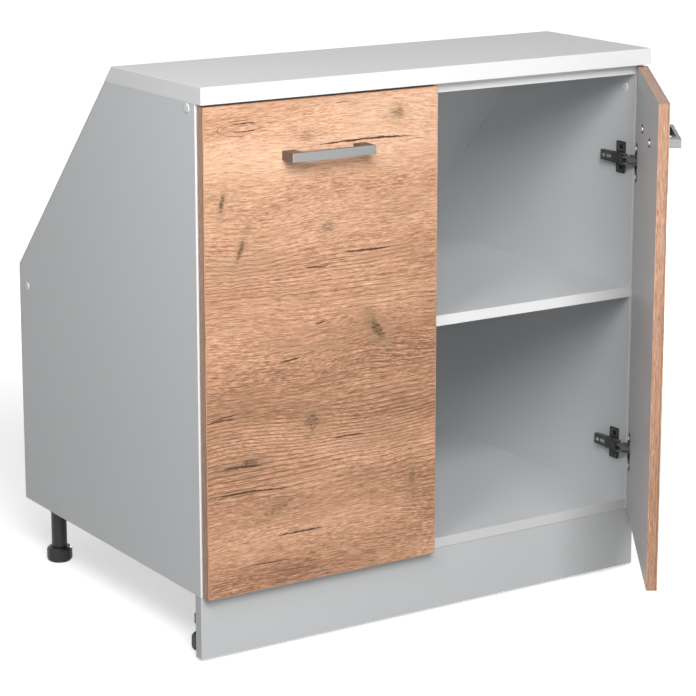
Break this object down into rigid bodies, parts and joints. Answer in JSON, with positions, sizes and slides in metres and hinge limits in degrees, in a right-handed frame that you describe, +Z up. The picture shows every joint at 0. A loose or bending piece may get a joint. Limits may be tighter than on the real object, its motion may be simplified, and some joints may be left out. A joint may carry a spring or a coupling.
{
  "type": "sloped ceiling kitchen cabinet",
  "caption": "Low kitchen base cabinet cut back along a roof slope, with a flat worktop, two oak doors on cup hinges, bow handles, a shelf, a plinth and screw feet.",
  "frame": {"origin": "on the floor, midway between the centres of the four feet", "axes": "+X to the cabinet's right side seen from the front, +Y to the back, +Z up"},
  "size_m": [0.8024, 0.9164, 0.845],
  "materials": {
    "grey_laminate": "matte melamine laminate",
    "white_edge_band": "satin white edge band",
    "worktop_laminate": "matte light grey laminate",
    "hardboard": "lacquered grey hardboard",
    "oak_decor": "textured golden oak decor outside, light grey inside",
    "oak_edge_band": "oak decor edge band",
    "satin_handle": "satin nickel",
    "black_hinge_steel": "black satin coat",
    "black_plastic": "matte black",
    "white_plastic": "satin white",
    "zinc_steel": "bright zinc",
    "beech_dowel": "plain fluted beech"
  },
  "bodies": {
    "carcass": {"left_side_panel": "grey_laminate", "right_side_panel": "grey_laminate", "bottom_panel": "grey_laminate", "shelf": "grey_laminate", "top_front_rail": "grey_laminate", "top_rear_rail": "grey_laminate", "plinth": "grey_laminate", "front_edge_bands": "white_edge_band", "worktop_edge_bands": "white_edge_band", "worktop": "worktop_laminate", "lower_back_panel": "hardboard", "sloped_back_panel": "hardboard", "left_plinth_clip": "black_plastic", "right_plinth_clip": "black_plastic", "leg_sockets": "black_plastic", "leg_tubes": "black_plastic", "assembly_screws": "zinc_steel", "plinth_clip_screws": "zinc_steel", "leg_socket_screws": "zinc_steel", "worktop_screws": "zinc_steel", "back_panel_nails": "zinc_steel", "hinge_plate_screws": "zinc_steel", "hinge_adjusting_screws": "zinc_steel", "wooden_dowels": "beech_dowel", "screw_cover_caps": "white_plastic", "joining_hole_caps": "white_plastic", "left_hinge_plates": "black_hinge_steel", "left_hinge_arms": "black_hinge_steel", "left_hinge_arm_pins": "zinc_steel", "right_hinge_plates": "black_hinge_steel", "right_hinge_arms": "black_hinge_steel", "right_hinge_arm_pins": "zinc_steel", "hinge_arm_covers": "black_hinge_steel"},
    "left_door_leaf": {"left_door": "oak_decor", "left_door_edge_band": "oak_edge_band", "left_handle": "satin_handle", "left_handle_screws": "zinc_steel", "left_hinge_cups": "black_hinge_steel", "left_hinge_cup_screws": "zinc_steel"},
    "left_inner_links": {"left_inner_hinge_links": "black_hinge_steel"},
    "left_outer_links": {"left_outer_hinge_links": "black_hinge_steel"},
    "right_door_leaf": {"right_door": "oak_decor", "right_door_edge_band": "oak_edge_band", "right_handle": "satin_handle", "right_handle_screws": "zinc_steel", "right_hinge_cups": "black_hinge_steel", "right_hinge_cup_screws": "zinc_steel"},
    "right_inner_links": {"right_inner_hinge_links": "black_hinge_steel"},
    "right_outer_links": {"right_outer_hinge_links": "black_hinge_steel"},
    "front_left_screw_foot": {"front_left_foot": "black_plastic"},
    "front_right_screw_foot": {"front_right_foot": "black_plastic"},
    "rear_left_screw_foot": {"rear_left_foot": "black_plastic"},
    "rear_right_screw_foot": {"rear_right_foot": "black_plastic"}
  },
  "joints": [
    {"name": "left_door_hinge", "type": "hinge", "parent": "carcass", "child": "left_door_leaf", "pos_m": [-0.3915, -0.305, 0.437], "axis": [0, 0, -1], "range_deg": [0, 110]},
    {"name": "left_inner_link_pivot", "type": "hinge", "parent": "carcass", "child": "left_inner_links", "pos_m": [-0.37, -0.292, 0.437], "axis": [0, 0, 1], "range_deg": [0, 58.31]},
    {"name": "left_outer_link_pivot", "type": "hinge", "parent": "carcass", "child": "left_outer_links", "pos_m": [-0.366, -0.288, 0.437], "axis": [0, 0, 1], "range_deg": [0, 46.21]},
    {"name": "right_door_hinge", "type": "hinge", "parent": "carcass", "child": "right_door_leaf", "pos_m": [0.3915, -0.305, 0.437], "axis": [0, 0, 1], "range_deg": [-55, 55]},
    {"name": "right_inner_link_pivot", "type": "hinge", "parent": "carcass", "child": "right_inner_links", "pos_m": [0.37, -0.292, 0.437], "axis": [0, 0, -1], "range_deg": [-29.16, 29.16]},
    {"name": "right_outer_link_pivot", "type": "hinge", "parent": "carcass", "child": "right_outer_links", "pos_m": [0.366, -0.288, 0.437], "axis": [0, 0, -1], "range_deg": [-23.11, 23.11]},
    {"name": "front_left_foot_screw", "type": "slide", "parent": "carcass", "child": "front_left_screw_foot", "axis": [0, 0, -1], "range_m": [0, 0.02]},
    {"name": "front_right_foot_screw", "type": "slide", "parent": "carcass", "child": "front_right_screw_foot", "axis": [0, 0, -1], "range_m": [0, 0.02]},
    {"name": "rear_left_foot_screw", "type": "slide", "parent": "carcass", "child": "rear_left_screw_foot", "axis": [0, 0, -1], "range_m": [0, 0.02]},
    {"name": "rear_right_foot_screw", "type": "slide", "parent": "carcass", "child": "rear_right_screw_foot", "axis": [0, 0, -1], "range_m": [0, 0.02]}
  ],
  "couplings": [
    {"joint": "left_inner_link_pivot", "follows": "left_door_hinge", "ratio": 0.53},
    {"joint": "left_outer_link_pivot", "follows": "left_door_hinge", "ratio": 0.42},
    {"joint": "right_inner_link_pivot", "follows": "right_door_hinge", "ratio": 0.53},
    {"joint": "right_outer_link_pivot", "follows": "right_door_hinge", "ratio": 0.42}
  ]
}
